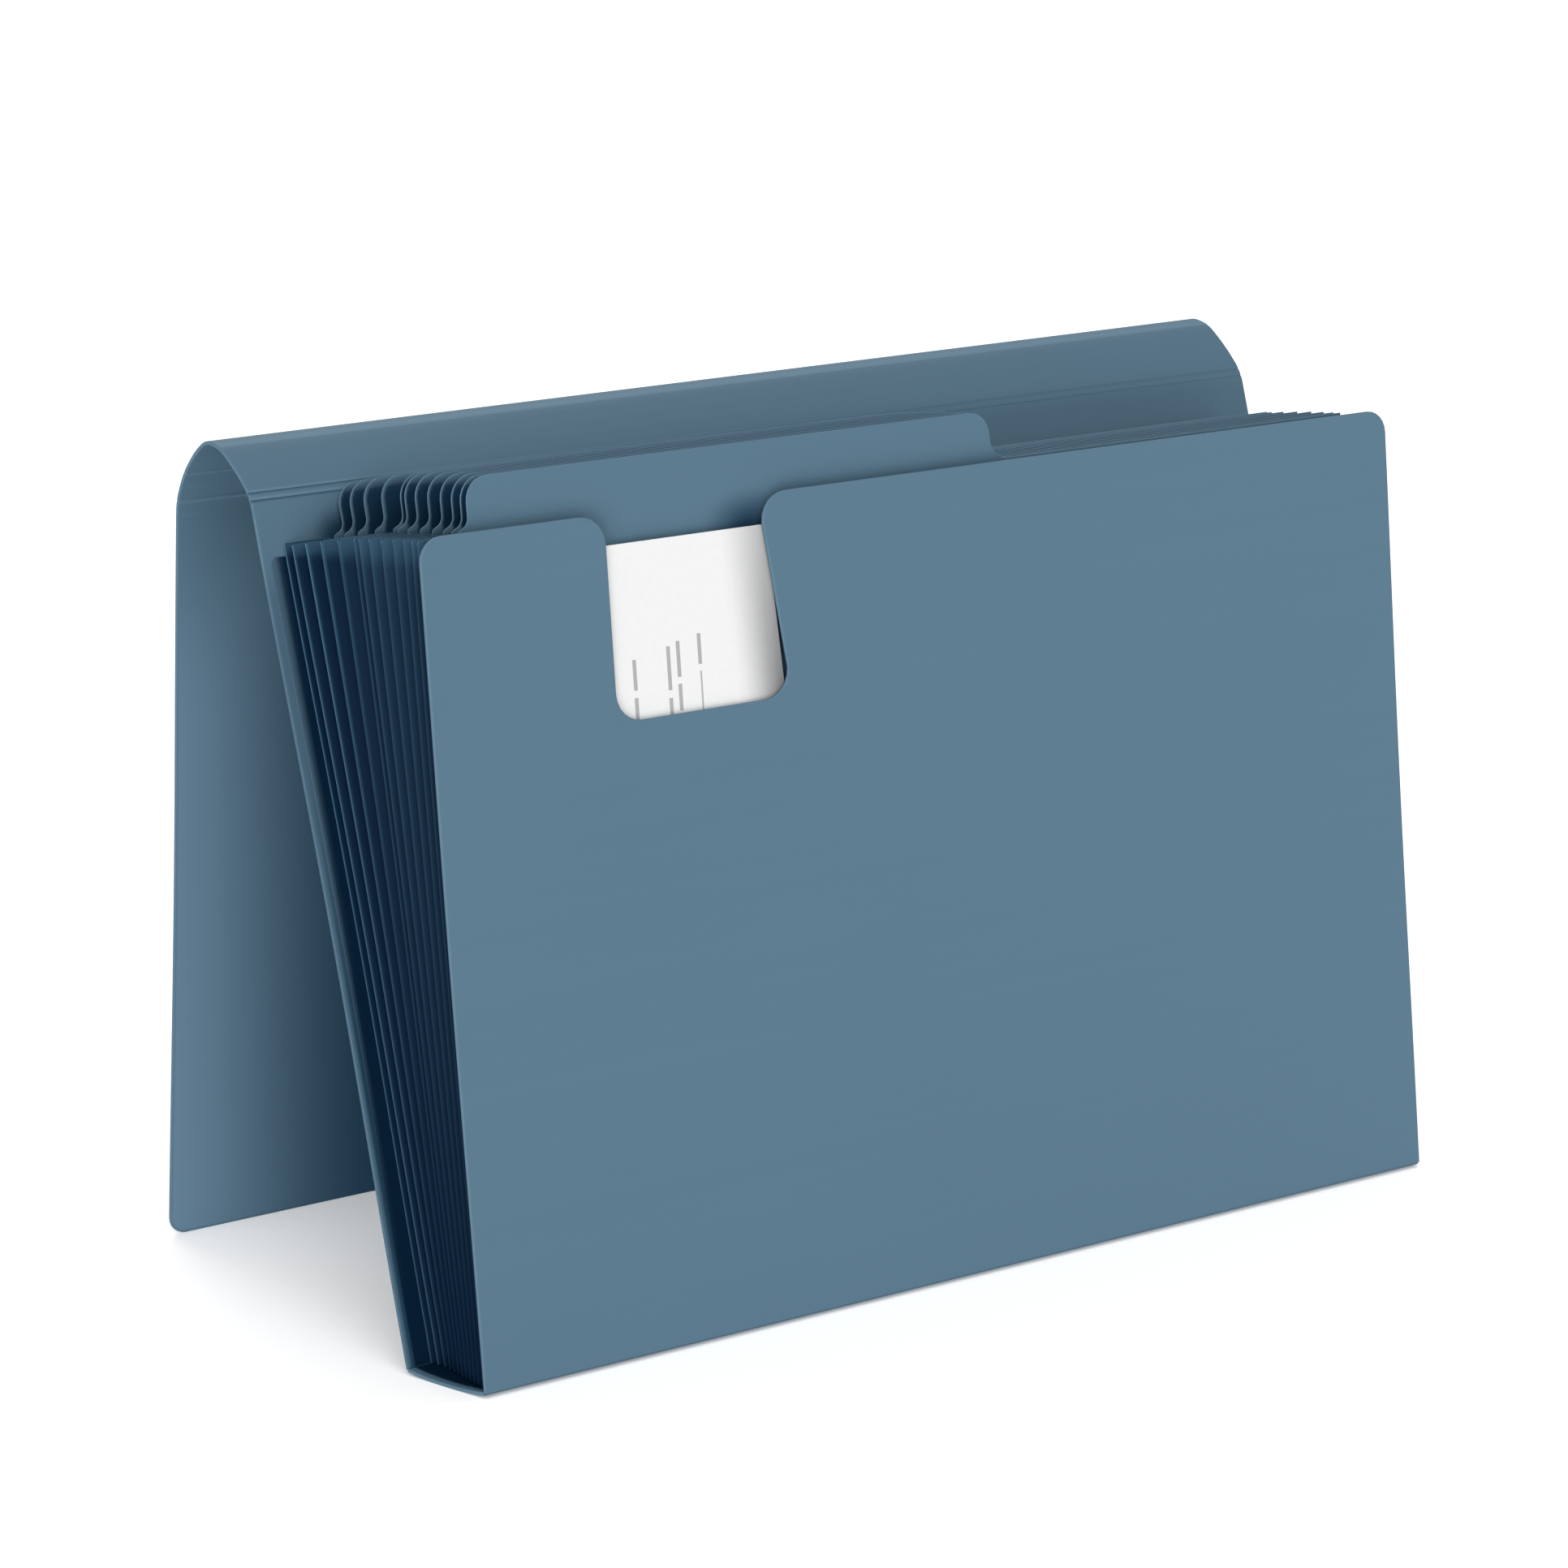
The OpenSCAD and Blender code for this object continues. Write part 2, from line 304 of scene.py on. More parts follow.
def makeEdgeTintAndPaintedLight():
    # blends in a paler colour on the cut rims and where the painted highlight lies
    group, given, put = newGroup("edgeTintAndPaintedLight", [
        ("Face", "NodeSocketColor", (0.1, 0.2, 0.3, 1)), ("Edge", "NodeSocketColor", (0.3, 0.4, 0.5, 1)),
        ("Strength", "NodeSocketFloat", 0.5)], [("Color", "NodeSocketColor")])
    mask = addNode(group, "ShaderNodeAttribute", (-500, 100), attribute_name="cutEdgeAndPaintedLight")
    share = addNode(group, "ShaderNodeMath", (-300, 100),
                    {0: mask.outputs["Fac"], 1: given.outputs["Strength"]}, operation="MULTIPLY")
    mixed = addNode(group, "ShaderNodeMix", (-100, 0), data_type="RGBA", links={
        0: share.outputs[0], 6: given.outputs["Face"], 7: given.outputs["Edge"]})
    group.links.new(mixed.outputs[2], put.inputs["Color"])
    return group


def makePocketShade():
    # painted shade: deepens the colour where sheets lie close together
    group, given, put = newGroup("pocketShade", [
        ("Open", "NodeSocketColor", (0.1, 0.2, 0.3, 1)), ("Deep", "NodeSocketColor", (0.01, 0.03, 0.06, 1)),
        ("Amount", "NodeSocketFloat", 1.0)], [("Color", "NodeSocketColor")])
    mask = addNode(group, "ShaderNodeAttribute", (-500, 100), attribute_name="shade")
    share = addNode(group, "ShaderNodeMath", (-300, 100),
                    {0: mask.outputs["Fac"], 1: given.outputs["Amount"]}, operation="MULTIPLY")
    mixed = addNode(group, "ShaderNodeMix", (-100, 0), data_type="RGBA", links={
        0: share.outputs[0], 6: given.outputs["Open"], 7: given.outputs["Deep"]})
    group.links.new(mixed.outputs[2], put.inputs["Color"])
    return group


sheetGrain, edgeTintAndPaintedLight, pocketShade = makeSheetGrain(), makeEdgeTintAndPaintedLight(), makePocketShade()


def sheetMaterial(name, look):
    material = bpy.data.materials.new(name)
    material.use_nodes = True
    tree = material.node_tree
    shader = tree.nodes["Principled BSDF"]
    shader.inputs["IOR"].default_value = look["ior"]
    grain = addNode(tree, "ShaderNodeGroup", (-900, 0), node_tree=sheetGrain)
    grain.inputs["Grain Scale"].default_value = look["grainScale"]
    grain.inputs["Mottle Scale"].default_value = look["mottleScale"]
    grain.inputs["Streaks"].default_value = look["streaks"]
    tone = addNode(tree, "ShaderNodeMix", (-650, 200),
                   {0: grain.outputs["Tone"], 6: look["dark"], 7: look["light"]}, data_type="RGBA")
    # the tint lays the paler cut rims and the painted highlights, and deepen lays the painted shade
    tint = addNode(tree, "ShaderNodeGroup", (-450, 200), node_tree=edgeTintAndPaintedLight)
    tint.inputs["Edge"].default_value = look["edge"]
    tint.inputs["Strength"].default_value = look["edgeStrength"]
    deepen = addNode(tree, "ShaderNodeGroup", (-250, 200), node_tree=pocketShade)
    deepen.inputs["Deep"].default_value = look["deep"]
    tree.links.new(tone.outputs[2], tint.inputs["Face"])
    tree.links.new(tint.outputs["Color"], deepen.inputs["Open"])
    tree.links.new(deepen.outputs["Color"], shader.inputs["Base Color"])
    if "coveredWithin" in look:
        # the painted shade and the painted highlight at the ends show only while another panel stands near
        # before this one
        seen = addNode(tree, "ShaderNodeAmbientOcclusion", (-900, -500),
                       {"Distance": look["coveredWithin"]}, samples=look["coveredSamples"])
        amount = addNode(tree, "ShaderNodeMapRange", (-700, -500), {
            "Value": seen.outputs["AO"], "From Min": look["openSky"][0], "From Max": look["openSky"][1]})
        light = addNode(tree, "ShaderNodeMath", (-600, -300),
                        {0: amount.outputs["Result"], 1: look["edgeStrength"]}, operation="MULTIPLY")
        tree.links.new(amount.outputs["Result"], deepen.inputs["Amount"])
        tree.links.new(light.outputs[0], tint.inputs["Strength"])
    rough = addNode(tree, "ShaderNodeMapRange", (-400, -50), {
        "Value": grain.outputs["Tone"], "To Min": look["roughness"][0], "To Max": look["roughness"][1]})
    tree.links.new(rough.outputs["Result"], shader.inputs["Roughness"])
    bump = addNode(tree, "ShaderNodeBump", (-400, -350), {
        "Height": grain.outputs["Height"], "Strength": look["bump"], "Distance": look["grainDepth"]})
    tree.links.new(bump.outputs["Normal"], shader.inputs["Normal"])
    return material


# in each look, deep is the colour of the painted shade, and edge the paler colour of the cut rims and of the
# painted highlights
coverLook = {
    "dark": (0.069, 0.129, 0.180, 1), "light": (0.077, 0.141, 0.195, 1), "deep": (0.004, 0.026, 0.052, 1),
    "edge": (0.110, 0.192, 0.260, 1), "edgeStrength": 0.3, "roughness": (0.50, 0.60),
    "bump": 0.35, "grainDepth": 0.02 * mm, "ior": 1.2,
    "grainScale": 2600.0, "mottleScale": 14.0, "streaks": 0.45,
}
# the cover plastic for the flap, with its own painted shade colour and a paler colour for the painted
# highlight at its ends
flapLookPaintedLight = dict(coverLook, **{
    "deep": (0.009, 0.040, 0.077, 1), "edge": (0.130, 0.215, 0.300, 1),
    # another panel covers it within this reach; shares of open sky at which its painted shade starts and is
    # whole
    "coveredWithin": 0.3, "coveredSamples": 8, "openSky": (0.97, 0.82),
})
dividerLook = {
    "dark": (0.067, 0.125, 0.175, 1), "light": (0.074, 0.136, 0.188, 1), "deep": (0.002, 0.019, 0.045, 1),
    "edge": (0.115, 0.200, 0.270, 1), "edgeStrength": 0.6, "roughness": (0.50, 0.60),
    "bump": 0.25, "grainDepth": 0.02 * mm, "ior": 1.18,
    "grainScale": 3200.0, "mottleScale": 18.0, "streaks": 0.5,
}
# the film's base colour is darker than the cover's, as painted shade for its close folds; the film is the
# same slate plastic
gussetLook = {
    "dark": (0.040, 0.098, 0.152, 1), "light": (0.046, 0.108, 0.166, 1), "deep": (0.001, 0.010, 0.028, 1),
    "edge": (0.115, 0.205, 0.275, 1), "edgeStrength": 0.8, "roughness": (0.55, 0.65),
    "bump": 0.25, "grainDepth": 0.02 * mm, "ior": 1.12,
    "grainScale": 3200.0, "mottleScale": 40.0, "streaks": 0.6,
}
stripLook = {
    "dark": (0.067, 0.127, 0.178, 1), "light": (0.074, 0.137, 0.191, 1), "deep": (0.001, 0.010, 0.026, 1),
    "edge": (0.110, 0.190, 0.255, 1), "edgeStrength": 0.4, "roughness": (0.55, 0.65),
    "bump": 0.25, "grainDepth": 0.02 * mm, "ior": 1.12,
    "grainScale": 3200.0, "mottleScale": 40.0, "streaks": 0.6,
}
coverPlastic = sheetMaterial("coverPlastic", coverLook)
flapPlasticPaintedLight = sheetMaterial("flapPlasticPaintedLight", flapLookPaintedLight)
dividerPlastic = sheetMaterial("dividerPlastic", dividerLook)
gussetFilm = sheetMaterial("gussetFilm", gussetLook)
gussetStrip = sheetMaterial("gussetStrip", stripLook)
print("materials made")


# Cover: front panel, back panel and flap

cover = {
    "cornerRadius": 5 * mm, "flapCorner": 4 * mm, "cell": (9 * mm, 9 * mm),
    "frontBow": -0.5 * mm, "backBow": 1.3 * mm, "flapBow": -0.6 * mm,
    "creaseReach": 3.2 * mm,  # how much of the panels beside the top spine belongs to its creases
    # painted shade behind the tabs' left ends: place, size, depth, how much of it is even, and cuts each way
    "tabShade": (-111.5 * mm, 168.5 * mm), "tabShadeSize": (8.5 * mm, 9 * mm), "tabShadeDepth": 0.97,
    "tabShadeCore": 0.3, "tabShadeCuts": (6, 8),
    # painted shade over the back panel's foot and margin, light along its rim; painted shade on the flap's
    # face under the arch and a painted highlight at its ends
    "footShade": 0.95, "footShadeTop": 175 * mm, "footShadeFade": 120 * mm,
    "marginShade": 0.3, "marginTop": 168 * mm, "marginFade": 12 * mm,
    "lightRim": 0.35 * mm, "rimFade": 0.9 * mm, "rimCuts": [0.5 * mm, 1 * mm, 1.5 * mm, 2 * mm],
    "flapShade": 0.97, "flapShadeFade": 60 * mm, "flapShadeStart": 45 * mm, "flapLight": 2.2,
}
notch = {
    "left": -82 * mm, "right": -44 * mm, "rightFoot": -39.9 * mm, "depth": 42.4 * mm, "radius": 6 * mm,
}


def notchEdge(s):
    # the notch's right edge leans outward on its way down
    down = min(max((frontAxes["length"] - s) / notch["depth"], 0), 1)
    return notch["right"] + (notch["rightFoot"] - notch["right"]) * down


def dress(piece, material, body, slot, *nodes):
    piece.data.materials.append(material)
    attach(piece, body)
    if nodes:
        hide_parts(*nodes)


def frontOutline(axes):
    half, top, r = axes["half"], axes["length"], cover["cornerRadius"]
    left, right, rightFoot, n = notch["left"], notch["right"], notch["rightFoot"], notch["radius"]
    low = top - notch["depth"]
    return (
        [(-half, 0), (half, 0)]
        + cornerArc((half - r, top - r), r, 0, 90)
        + cornerArc((right + n, top - n), n, 90, 90)
        + cornerArc((rightFoot - n, low + n), n, 0, -90)
        + cornerArc((left + n, low + n), n, -90, -90)
        + cornerArc((left - n, top - n), n, 0, 90)
        + cornerArc((-half + r, top - r), r, 90, 90)
    )


def makeFrontPanel():
    axes = sheetAxes("front_panel")

    def bend(x, s):
        return panelBow(axes, s)
    piece = makeSheet("frontPanel", frontOutline(axes), flatPlace(axes, bend), axes["thick"], cover["cell"])
    dress(piece, coverPlastic, "front_panel", "cover_sheet", "front_panel")


def makeBackPanel():
    axes = sheetAxes("back_panel")
    half, top = axes["half"], backLength - cover["creaseReach"]
    outline = [(-half, 0), (half, 0), (half, top), (-half, top)]

    def bend(x, s):
        return panelBow(axes, s)
    spot, size, core = cover["tabShade"], cover["tabShadeSize"], cover["tabShadeCore"]

    def shade(x, s):
        # painted shade: the tabs standing in front keep light off this spot, the pockets off the foot, and a
        # weaker shade lies over the margin
        away = math.hypot((x - spot[0]) / size[0], (s - spot[1]) / size[1])
        low = cover["footShade"] * ease((cover["footShadeTop"] - s) / cover["footShadeFade"])
        low *= ease((half - abs(x) - cover["lightRim"]) / cover["rimFade"])
        low = max(low, cover["marginShade"] * ease((cover["marginTop"] - s) / cover["marginFade"]))
        return max(low, cover["tabShadeDepth"] * (1 - ease((away - core) / (1 - core))))
    across = spread(spot[0], size[0], cover["tabShadeCuts"][0])
    across += [end * (half - inset) for inset in cover["rimCuts"] for end in (-1, 1)]
    along = spread(spot[1], size[1], cover["tabShadeCuts"][1])
    piece = makeSheet("backPanel", outline, flatPlace(axes, bend), axes["thick"], cover["cell"], seams=(top,),
                      cuts=(across, along), shade=shade, shadeOn=(1, 0))
    dress(piece, coverPlastic, "back_panel", "cover_sheet", "back_panel")


def makeFlap():
    axes = sheetAxes("closing_flap")
    half, foot, top, r = axes["half"], cover["creaseReach"], axes["length"], cover["flapCorner"]
    outline = (
        [(-half, foot), (half, foot)]
        + cornerArc((half - r, top - r), r, 0, 90) + cornerArc((-half + r, top - r), r, 90, 90)
    )

    def bend(x, s):
        return cover["flapBow"] * arch((s - foot) / (top - foot)) ** 2

    def inward(x):
        return ease((half - abs(x)) / cover["flapShadeFade"])

    def pastArch(s):
        return ease((s - foot) / cover["flapShadeStart"])

    def shade(x, s):
        # painted shade: the face under the arch darkens away from the flap's ends and away from the arch
        return cover["flapShade"] * inward(x) * pastArch(s)

    # painted highlight towards the flap's ends, away from the arch
    def paintedLight(x, s):
        return cover["flapLight"] * (1 - inward(x)) * pastArch(s)
    piece = makeSheet("flapPanel", outline, flatPlace(axes, bend), axes["thick"], cover["cell"],
                      seams=(foot,), shade=shade, shadeOn=(0, 1), paintedLight=paintedLight, paintedLightOn=(0, 1))
    dress(piece, flapPlasticPaintedLight, "closing_flap", "cover_sheet", "closing_flap")


makeFrontPanel()
makeBackPanel()
makeFlap()
print("cover panels made")


# Top spine: one piece over each crease, from the middle of one strip to the middle of the next

spine = {
    "strips": ["top_strip_%d" % i for i in range(1, 7)], "cell": (14 * mm, 0.14 * mm), "band": 0.1 * mm,
    "softness": 0.42,  # how much of the shorter strip beside a crease its bend takes
    # creases with sharp score lines, numbered from the back panel; the others have one faint line
    "doubleScores": [1], "singleScores": [6, 7], "doubleGap": 0.85 * mm,
    "scoreWidth": 0.22 * mm, "scoreDepth": 0.2 * mm, "faintDepth": 0.006 * mm,
    "crestSink": -0.15 * mm, "crestTilt": 0.75 * mm, "crest": 3, "crestLight": 2.2,
    # painted highlight on the score lines' lips and painted shade in their grooves; crestLight is the painted
    # highlight on the crest
    "lineWidth": 0.26 * mm, "lineLight": 2.8, "lineDark": 0.6,
    "lineLoss": 0.75, "lossFrom": -70 * mm, "lossOver": 130 * mm,
}
creaseHeights = [jointInto[strip]["pos_m"][2] for strip in spine["strips"]]
crestFoot, crestTop = creaseHeights[0], max(creaseHeights)


def bentPlace(crease, before, after, turnLength, scores, scoreDepth):
    # a path that comes along before, rounds the crease and leaves along after, with pressed score lines
    angle = before.angle(after)
    radius = turnLength / math.tan(angle / 2)
    arcLength = radius * angle
    startPoint = crease - before * turnLength
    side = Vector((0, -before.z, before.y))
    if side.dot(after) < 0:
        side = -side
    centre = startPoint + side * radius

    def place(x, s):
        turned = min(max(s / arcLength + 0.5, 0), 1) * angle
        way = before * math.cos(turned) + side * math.sin(turned)
        towards = side * math.cos(turned) - before * math.sin(turned)
        over = s - min(max(s, -arcLength / 2), arcLength / 2)  # how far past the bend
        point = centre - towards * radius + way * over
        front = Vector((0, -way.z, way.y))
        dip, slope = 0, 0
        for score in scores:
            t = (s - score) / spine["scoreWidth"]
            dip += scoreDepth * math.exp(-t * t)
            slope -= 2 * t / spine["scoreWidth"] * scoreDepth * math.exp(-t * t)
        high = (point.z - crestFoot) / (crestTop - crestFoot)
        lift = max(high, 0) * (spine["crestSink"] + spine["crestTilt"] * x / backAxes["half"])
        return point - front * dip + Vector((x, 0, lift)), (front + way * slope).normalized()
    return place, arcLength


def lineStrength(x):
    # the painted highlight and painted shade of the score lines weaken towards the right
    return 1 - spine["lineLoss"] * ease((x - spine["lossFrom"]) / spine["lossOver"])


def makeCreases():
    bodies = ["back_panel"] + spine["strips"] + ["closing_flap"]
    creases = [Vector(jointInto[body]["pos_m"]) for body in bodies[1:]]
    halves = [(b - a).length / 2 for a, b in zip(creases, creases[1:])]
    reaches = [cover["creaseReach"]] + halves + [cover["creaseReach"]]
    for number, (first, second) in enumerate(zip(bodies, bodies[1:]), 1):
        crease = creases[number - 1]
        before, after = sheetAxes(first), sheetAxes(second)
        lengthBefore, lengthAfter = reaches[number - 1], reaches[number]
        turnLength = min(lengthBefore, lengthAfter) * 2 * spine["softness"]
        scores = [-spine["doubleGap"], spine["doubleGap"]] if number in spine["doubleScores"] else [0]
        sharp = number in spine["doubleScores"] + spine["singleScores"]
        place, arcLength = bentPlace(crease, before["up"], after["up"], turnLength, scores,
                                     spine["scoreDepth"] if sharp else spine["faintDepth"])
        low = -arcLength / 2 - (lengthBefore - turnLength)
        high = arcLength / 2 + (lengthAfter - turnLength)
        half = after["half"]

        def paintedLight(x, s):
            # painted highlight on a lip above each score's groove, and on the crest behind its crease
            lips = [math.exp(-((s - score) / spine["lineWidth"] - 1) ** 2) for score in scores if sharp]
            lightness = spine["lineLight"] * max(lips, default=0) * lineStrength(x)
            if number == spine["crest"]:
                lightness += spine["crestLight"] * ease(s / spine["lineWidth"])
            if number == spine["crest"] + 1:
                lightness += spine["crestLight"] * ease((high - s) / (high - low))
            return lightness

        # painted shade in each score's groove
        def shade(x, s):
            grooves = [math.exp(-((s - score) / spine["lineWidth"] + 1) ** 2) for score in scores if sharp]
            return spine["lineDark"] * max(grooves, default=0) * lineStrength(x)
        outline = [(-half, low), (half, low), (half, high), (-half, high)]
        piece = makeSheet("topCrease%d" % number, outline, place, after["thick"], spine["cell"],
                          spine["band"], seams=(low, high), shade=shade, shadeOn=(1, 0), paintedLight=paintedLight)
        piece.data.materials.append(coverPlastic)
        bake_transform(piece)
        if second in spine["strips"]:
            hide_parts(second)


makeCreases()
print("top spine made")


# Bottom spine

base = {
    "cell": (8 * mm, 1.0 * mm), "band": 0.1 * mm, "step": 0.3 * mm,
    "hollow": 0.6,  # lower for a flatter bottom with steeper sides
    "shade": 1, "lightEnd": 1.3 * mm, "fade": 0.7 * mm, "endCuts": 17, "cutStep": 0.5 * mm,
}


def spineHeight(y):
    # the middle of the bottom spine's sheet, which sags between the two panels
    depth = backAxes["foot"].y - frontAxes["foot"].y
    sag = frontAxes["foot"].z - frontAxes["thick"] / 2
    return frontAxes["foot"].z - sag * arch((y - frontAxes["foot"].y) / depth) ** base["hollow"]


def makeBottomSpine():
    depth = backAxes["foot"].y - frontAxes["foot"].y
    frontHalf, backHalf = frontAxes["half"], backAxes["half"]

    def at(x, s):
        y = frontAxes["foot"].y + s
        return Vector((x, y, spineHeight(y)))

    def place(x, s):
        step = base["step"]
        s = min(max(s, step), depth - step)
        along = at(x, s + step) - at(x, s - step)
        return at(x, s), Vector((1, 0, 0)).cross(along).normalized()

    # painted shade over the upper face, light only near its ends
    def shade(x, s):
        half = frontHalf + (backHalf - frontHalf) * s / depth
        return base["shade"] * ease((half - abs(x) - base["lightEnd"]) / base["fade"])
    outline = [(-frontHalf, 0), (frontHalf, 0), (backHalf, depth), (-backHalf, depth)]
    ends = [backHalf - base["cutStep"] * i for i in range(1, base["endCuts"] + 1)]
    piece = makeSheet("bottomSpine", outline, place, frontAxes["thick"], base["cell"], base["band"],
                      cuts=([-x for x in ends] + ends, ()), shade=shade, shadeOn=(1, 0))
    dress(piece, gussetStrip, "bottom_spine", "cover_sheet", "bottom_spine")


makeBottomSpine()
print("bottom spine made")


# Dividers with their tabs

divider = {
    "count": 12, "shoulder": 170 * mm, "tabHeight": 10.3 * mm, "tabInset": 2.5 * mm, "tabWidth": 129 * mm,
    "tabRadius": 5 * mm, "footRadius": 4.5 * mm, "footShare": 0.92,
    "cell": (14 * mm, 14 * mm), "band": 0.25 * mm,
    # painted shade on the dividers' front faces, with light along the tabs' rims
    "shade": 0.96, "openFrom": 120 * mm, "fade": 30 * mm,
    "lightRim": 0.1 * mm, "rimFade": 0.12, "topFade": 2.5 * mm,  # rimFade is a share of the gap ahead
    # on the front divider: painted shade behind the notch's top right corner, and beside the slip
    "spot": (-46 * mm, 163.5 * mm), "spotSize": (13 * mm, 8.5 * mm), "spotDepth": 0.9, "gapShade": 3.5 * mm,
    # finer cuts in mm, for the painted shade: in from a tab's sides, out from them, over the spot, over the
    # shoulder
    "inwardCuts": [0.4, 0.55, 0.75, 1, 1.4, 2, 3, 4, 5, 6, 7, 8],
    "leftCuts": [0.5, 1, 1.5], "rightCuts": [1, 2, 3], "spotCuts": range(-12, 13),
    "topCuts": [-12, -10, -8, -6, -4, -2, 0, 1, 2, 3, 4, 5, 6, 7, 8, 9, 10],
}
stack = ["back_panel"] + ["divider_%02d" % k for k in range(1, divider["count"] + 1)] + ["front_panel"]
stackAxes = [sheetAxes(body) for body in stack]


def tabRadii():
    # of the tab's top corners, its right foot and its left foot, which has less room
    foot = divider["footRadius"]
    return divider["tabRadius"], foot, min(foot, divider["tabInset"] * divider["footShare"])


def dividerOutline(half):
    shoulder, top = divider["shoulder"], divider["shoulder"] + divider["tabHeight"]
    left = -half + divider["tabInset"]
    right = left + divider["tabWidth"]
    r, f, g = tabRadii()
    return (
        [(-half, 0), (half, 0), (half, shoulder)]
        + cornerArc((right + f, shoulder + f), f, -90, -90)
        + cornerArc((right - r, top - r), r, 0, 90)
        + cornerArc((left + r, top - r), r, 90, 90)
        + cornerArc((left - g, shoulder + g), g, 0, -90)
        + [(-half, shoulder)]
    )


def cornerInset(rise, radius):
    # how far a rounded corner has curved away, at this height within its radius
    return radius - math.sqrt(max(radius ** 2 - max(rise, 0) ** 2, 0)) if rise > 0 else 0


def fromTabEdge(x, s, left, right):
    # how far inside a tab's outline a point lies, across the tab
    rise = s - divider["shoulder"]
    r, f, g = tabRadii()
    top = cornerInset(rise - divider["tabHeight"] + r, r)
    return min(x - left + cornerInset(g - rise, g) - top, right + cornerInset(f - rise, f) - top - x)


def frontDividerShade(x, s):
    # painted shade: the front panel keeps light off this divider, except for its tab
    spot, size = divider["spot"], divider["spotSize"]
    away = math.hypot((x - spot[0]) / size[0], (s - spot[1]) / size[1])
    beside = 1 - ease(abs(x - notchEdge(s)) / divider["gapShade"])
    return max(divider["shade"] * ease((divider["openFrom"] - s) / divider["fade"]),
               divider["spotDepth"] * (1 - ease(away)),
               divider["shade"] * beside if s < spot[1] else 0)


def dividerCuts(left, right):
    across = [left + i * mm for i in divider["inwardCuts"]] + [left - i * mm for i in divider["leftCuts"]]
    across += [right - i * mm for i in divider["inwardCuts"]] + [right + i * mm for i in divider["rightCuts"]]
    across += [divider["spot"][0] + i * mm for i in divider["spotCuts"]]
    return across, [divider["shoulder"] + i * mm for i in divider["topCuts"]]


def makeDividers():
    for k in range(1, divider["count"] + 1):
        axes, ahead = stackAxes[k], stackAxes[k + 1]
        left = -axes["half"] + divider["tabInset"]
        right = left + divider["tabWidth"]
        tabTop = divider["shoulder"] + divider["tabHeight"]
        gap = (ahead["foot"] + ahead["up"] * tabTop - axes["foot"] - axes["up"] * tabTop).length

        def bend(x, s):
            return panelBow(axes, s)

        def shade(x, s):
            # painted shade: the next sheet keeps light off this one, except along the free edges
            top = tabTop if left < x < right else divider["shoulder"]
            depth = divider["shade"] * ease((top - s - divider["lightRim"]) / divider["topFade"])
            if s <= divider["shoulder"]:
                return depth
            inside = fromTabEdge(x, s, left, right) - divider["lightRim"]
            return depth * ease(inside / (divider["rimFade"] * gap))
        piece = makeSheet("dividerSheet%02d" % k, dividerOutline(axes["half"]), flatPlace(axes, bend),
                          axes["thick"], divider["cell"], divider["band"], cuts=dividerCuts(left, right),
                          shade=frontDividerShade if k == divider["count"] else shade, shadeOn=(1, 0))
        dress(piece, dividerPlastic, stack[k], "divider_film", stack[k])


makeDividers()
print("dividers made")


# Side pleats: one fold of film between each panel and the next

pleat = {
    "length": {"left": 169 * mm, "right": 167.2 * mm}, "thick": 0.22 * mm,
    "cell": (0.7 * mm, 6 * mm), "band": 0.05 * mm, "topCuts": [2 * mm, 3 * mm, 4 * mm, 5 * mm],
    "setback": 1.2 * mm, "gap": 0.1 * mm, "footTrim": 0.5 * mm, "overSpine": 0.7 * mm,
    # the tip: its lean to the front, its rounding as a share of the reach, and its cut corner
    "tipLean": 0.33, "foldRadius": 0.35, "tipCut": 1.6 * mm, "tipDrop": 1.2 * mm, "tipSteps": 5,
    "stepAcross": 0.1 * mm, "stepAlong": 0.5 * mm, "blendHeight": 0.55,
    # the painted shade lets up within these widths of the ridge and of the top; the painted highlight spreads
    # this wide on the tip
    "ridge": 0.2 * mm, "fade": 1.1 * mm, "lightTop": 0.8 * mm, "paintedLightWidth": 0.35 * mm,
    # fold by fold from the rear: how far the tip stands out more, how much painted light its ridge gets at
    # its top and at
    # its foot, how strong its painted highlight is, how deep its painted shade is between the folds and how
    # far down from the top painted light reaches
    "reach": [1.8 * mm, 0.9 * mm, 0.3 * mm] + [0] * 10,
    "ridgeLight": [0.9, 0.9, 0.9, 0.6, 0.38, 0.33, 0.3, 0.28, 0.26, 0.24, 0.22, 0.2, 0.2],
    "ridgeFoot": [0.45, 0.45, 0.2, 0.05] + [0] * 9,
    "paintedLight": [0.5, 1, 0.9, 0.4] + [0] * 9,
    "deepest": [1, 1, 1, 0.98, 0.95, 0.92, 0.9, 0.88, 0.88, 0.88, 0.88, 0.88, 0.9],
    "topShade": 0.58, "topFade": [2 * mm, 2.5 * mm, 3 * mm, 4 * mm, 5 * mm] + [7 * mm] * 8,
}
strip = {  # the film's last part, welded to the back panel
    "edge": 1.8 * mm, "width": 14 * mm, "length": 167.2 * mm, "corner": 1.6 * mm, "foot": 0.5 * mm,
    "cell": (1 * mm, 6 * mm), "lightTop": -0.2 * mm, "lightFoot": -3 * mm, "fade": 3 * mm,
}


def foldReach(u):
    # how far out the film stands, u from 0 at the rear panel to 1 at the next one, with a rounded tip
    r = pleat["foldRadius"]
    out = 1 - abs(2 * u - 1)
    if out > 1 - r:
        out -= (out - 1 + r) ** 2 / (2 * r)
    return out / (1 - r / 2)


